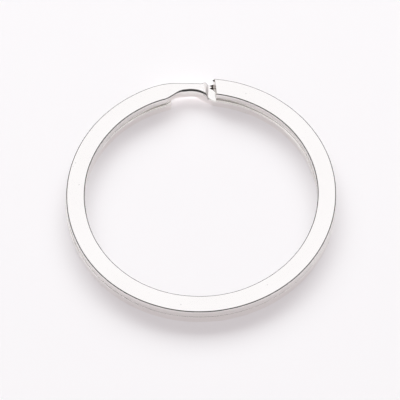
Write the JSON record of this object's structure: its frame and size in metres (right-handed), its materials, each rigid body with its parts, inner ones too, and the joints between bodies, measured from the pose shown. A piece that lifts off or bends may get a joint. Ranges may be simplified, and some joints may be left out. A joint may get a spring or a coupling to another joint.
{
  "type": "split key ring",
  "caption": "Round split key ring of flat plated wire wound flat on itself, with a pinched crossover and two free ends that spring open to let a key slide in.",
  "frame": {"origin": "the ring's centre, on the flat face that it lies on", "axes": "+Z out of the ring's plane, upwards through the hole; +Y towards the crossover and the two free ends; +X to the right seen from the front"},
  "size_m": [0.03, 0.0299, 0.0022],
  "materials": {
    "plated_strip": "bright nickel plate, near mirror, with fine rubbing marks"
  },
  "bodies": {
    "ring_back": {"crossover": "plated_strip", "upper_root_1": "plated_strip", "upper_root_2": "plated_strip", "upper_root_3": "plated_strip", "upper_root_4": "plated_strip", "upper_root_5": "plated_strip", "upper_root_6": "plated_strip", "lower_root_1": "plated_strip", "lower_root_2": "plated_strip", "lower_root_3": "plated_strip", "lower_root_4": "plated_strip", "lower_root_5": "plated_strip", "lower_root_6": "plated_strip"},
    "upper_arm": {"upper_arm_1": "plated_strip", "upper_arm_2": "plated_strip", "upper_arm_3": "plated_strip", "upper_arm_4": "plated_strip", "upper_arm_5": "plated_strip", "upper_free_end": "plated_strip"},
    "lower_arm": {"lower_arm_1": "plated_strip", "lower_arm_2": "plated_strip", "lower_arm_3": "plated_strip", "lower_arm_4": "plated_strip", "lower_arm_5": "plated_strip", "lower_free_end": "plated_strip"}
  },
  "joints": [
    {"name": "upper_end_opening", "type": "hinge", "parent": "ring_back", "child": "upper_arm", "pos_m": [0.00052, -0.01499, 0.00112], "axis": [0.9994, 0.0349, 0], "range_deg": [0, 6], "stiffness_Nm_per_rad": 0.92},
    {"name": "lower_end_opening", "type": "hinge", "parent": "ring_back", "child": "lower_arm", "pos_m": [0.00052, -0.01499, 0.00112], "axis": [-0.9994, -0.0349, 0], "range_deg": [0, 6], "stiffness_Nm_per_rad": 0.92}
  ]
}
